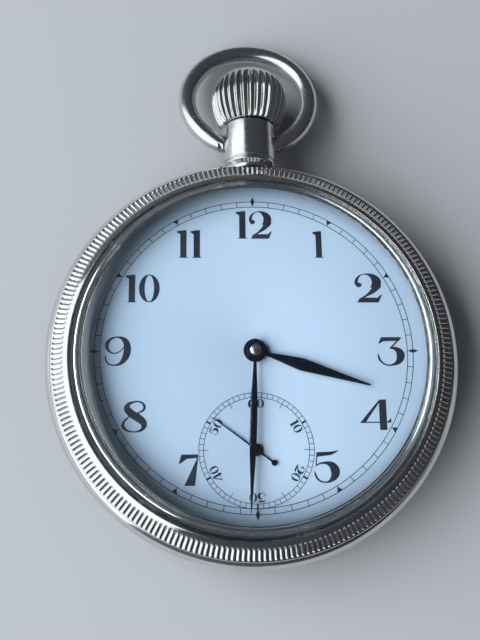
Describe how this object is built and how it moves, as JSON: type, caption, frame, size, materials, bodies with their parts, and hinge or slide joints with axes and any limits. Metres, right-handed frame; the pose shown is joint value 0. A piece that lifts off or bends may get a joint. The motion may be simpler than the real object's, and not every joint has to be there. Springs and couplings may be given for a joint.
{
  "type": "open face pocket watch",
  "caption": "Open face pocket watch with a round polished case, reeded bezel, domed crystal, sub-seconds dial, fluted crown, swinging bow and a full lever movement inside.",
  "frame": {"origin": "on the hand axis, at the plane of the back cover's flat outer face", "axes": "+X to 3 o'clock, +Y to 12 o'clock and the pendant, +Z out of the dial"},
  "size_m": [0.0522, 0.0724, 0.0116],
  "materials": {
    "case_nickel": "polished",
    "glass_dome": "polished",
    "dial_enamel": "glossy",
    "dark_hands": "blued steel",
    "plate_brass": "grained",
    "wheel_brass": "satin",
    "steel": "polished",
    "blue_steel": "blued",
    "ruby": "polished"
  },
  "bodies": {
    "root": {"case_band": "case_nickel", "bezel": "case_nickel", "crystal": "glass_dome", "back_cover": "case_nickel", "pendant": "case_nickel", "pendant_sleeve": "wheel_brass", "dial": "dial_enamel", "main_plate": "plate_brass", "dial_screws": "steel", "motion_studs": "steel", "barrel_bridge": "plate_brass", "train_bridge": "plate_brass", "pallet_cock": "plate_brass", "balance_cock": "plate_brass", "movement_screws": "blue_steel", "hairspring": "blue_steel", "hairspring_stud": "steel", "jewels": "ruby", "click_spring": "steel", "winding_screws": "blue_steel", "setting_spring": "steel"},
    "bow": {"bow": "case_nickel"},
    "winder": {"winding_pinion": "steel"},
    "crown_stem": {"crown": "case_nickel", "stem": "steel"},
    "clutch": {"clutch": "steel"},
    "setting_lever": {"setting_lever": "steel"},
    "yoke": {"yoke": "steel"},
    "crown_wheel": {"crown_wheel": "steel"},
    "ratchet": {"ratchet_wheel": "steel", "ratchet_screw": "steel", "barrel_arbor": "steel"},
    "click": {"click": "steel"},
    "barrel": {"barrel_drum": "wheel_brass", "barrel_cover": "wheel_brass", "mainspring": "blue_steel"},
    "centre": {"centre_wheel": "wheel_brass", "centre_pinion": "steel", "cannon_pinion": "steel", "minute_hand": "dark_hands"},
    "third": {"third_wheel": "wheel_brass", "third_pinion": "steel"},
    "fourth": {"fourth_wheel": "wheel_brass", "fourth_pinion": "steel", "seconds_hand": "dark_hands"},
    "escape": {"escape_wheel": "steel", "escape_pinion": "steel"},
    "lever": {"pallet_fork": "steel", "pallet_stones": "ruby"},
    "balance": {"balance_wheel": "wheel_brass", "balance_screws": "wheel_brass", "balance_staff": "steel", "roller": "steel", "impulse_jewel": "ruby", "hairspring_collet": "wheel_brass"},
    "regulator": {"regulator": "steel"},
    "minute_wheel": {"minute_wheel": "wheel_brass"},
    "hour": {"hour_wheel": "wheel_brass", "hour_hand": "dark_hands"},
    "setting_wheel": {"setting_wheel": "steel"}
  },
  "joints": [
    {"name": "bow_swing", "type": "hinge", "parent": "root", "child": "bow", "pos_m": [0, 0.0292, 0.0048], "axis": [1, 0, 0], "range_deg": [-125, 150]},
    {"name": "crown_turn", "type": "hinge", "parent": "root", "child": "winder", "pos_m": [0, 0.018, 0.0048], "axis": [0, 1, 0], "continuous": true},
    {"name": "crown_pull", "type": "slide", "parent": "winder", "child": "crown_stem", "axis": [0, 1, 0], "range_m": [0, 0.0009]},
    {"name": "clutch_slide", "type": "slide", "parent": "winder", "child": "clutch", "axis": [0, 1, 0], "range_m": [-0.00061, 0.00001]},
    {"name": "setting_lever_turn", "type": "hinge", "parent": "root", "child": "setting_lever", "pos_m": [0.0036, 0.0193, 0.0062], "axis": [0, 0, 1], "range_deg": [-15, 1]},
    {"name": "yoke_turn", "type": "hinge", "parent": "root", "child": "yoke", "pos_m": [0.0065, 0.014, 0.0062], "axis": [0, 0, 1], "range_deg": [-1, 8]},
    {"name": "crown_wheel_turn", "type": "hinge", "parent": "root", "child": "crown_wheel", "pos_m": [0, 0.0136, 0.0025], "axis": [0, 0, 1], "continuous": true},
    {"name": "ratchet_turn", "type": "hinge", "parent": "root", "child": "ratchet", "pos_m": [-0.00893, 0.00428, 0.0025], "axis": [0, 0, 1], "continuous": true},
    {"name": "click_turn", "type": "hinge", "parent": "root", "child": "click", "pos_m": [0.0016, 0.007, 0.0025], "axis": [0, 0, 1], "range_deg": [0, 8]},
    {"name": "minute_hand_turn", "type": "hinge", "parent": "root", "child": "centre", "pos_m": [0, 0, 0.005], "axis": [0, 0, -1], "continuous": true},
    {"name": "hour_hand_turn", "type": "hinge", "parent": "root", "child": "hour", "pos_m": [0, 0, 0.007], "axis": [0, 0, -1], "continuous": true},
    {"name": "minute_wheel_turn", "type": "hinge", "parent": "root", "child": "minute_wheel", "pos_m": [0, 0.0038, 0.0065], "axis": [0, 0, -1], "continuous": true},
    {"name": "setting_wheel_turn", "type": "hinge", "parent": "root", "child": "setting_wheel", "pos_m": [0, 0.00921, 0.0065], "axis": [0, 0, -1], "continuous": true},
    {"name": "barrel_turn", "type": "hinge", "parent": "root", "child": "barrel", "pos_m": [-0.00893, 0.00428, 0.0049], "axis": [0, 0, -1], "continuous": true},
    {"name": "third_wheel_turn", "type": "hinge", "parent": "root", "child": "third", "pos_m": [-0.00572, -0.00695, 0.004], "axis": [0, 0, -1], "continuous": true},
    {"name": "seconds_hand_turn", "type": "hinge", "parent": "root", "child": "fourth", "pos_m": [0, -0.01204, 0.0044], "axis": [0, 0, -1], "continuous": true},
    {"name": "escape_wheel_turn", "type": "hinge", "parent": "root", "child": "escape", "pos_m": [0.0063, -0.0089, 0.0046], "axis": [0, 0, -1], "continuous": true},
    {"name": "pallet_rock", "type": "hinge", "parent": "root", "child": "lever", "pos_m": [0.0082, -0.0066, 0.0048], "axis": [0, 0, 1], "range_deg": [-6, 6]},
    {"name": "balance_swing", "type": "hinge", "parent": "root", "child": "balance", "pos_m": [0.011, -0.003, 0.0034], "axis": [0, 0, 1], "range_deg": [-270, 270], "stiffness_Nm_per_rad": 0.0000012},
    {"name": "regulator_turn", "type": "hinge", "parent": "root", "child": "regulator", "pos_m": [0.011, -0.003, 0.0017], "axis": [0, 0, 1], "range_deg": [-20, 20]}
  ],
  "couplings": [
    {"joint": "crown_wheel_turn", "follows": "crown_turn", "ratio": 0.53333},
    {"joint": "ratchet_turn", "follows": "crown_turn", "ratio": -0.26667},
    {"joint": "clutch_slide", "follows": "crown_pull", "ratio": -0.66667},
    {"joint": "setting_lever_turn", "follows": "crown_pull", "rad_per_m": -277.78},
    {"joint": "yoke_turn", "follows": "crown_pull", "rad_per_m": 136.06},
    {"joint": "hour_hand_turn", "follows": "minute_hand_turn", "ratio": 0.083333},
    {"joint": "minute_wheel_turn", "follows": "minute_hand_turn", "ratio": -0.33333},
    {"joint": "setting_wheel_turn", "follows": "minute_hand_turn", "ratio": 0.37037},
    {"joint": "barrel_turn", "follows": "minute_hand_turn", "ratio": -0.125},
    {"joint": "third_wheel_turn", "follows": "minute_hand_turn", "ratio": -8},
    {"joint": "seconds_hand_turn", "follows": "minute_hand_turn", "ratio": 60},
    {"joint": "escape_wheel_turn", "follows": "minute_hand_turn", "ratio": -600}
  ]
}
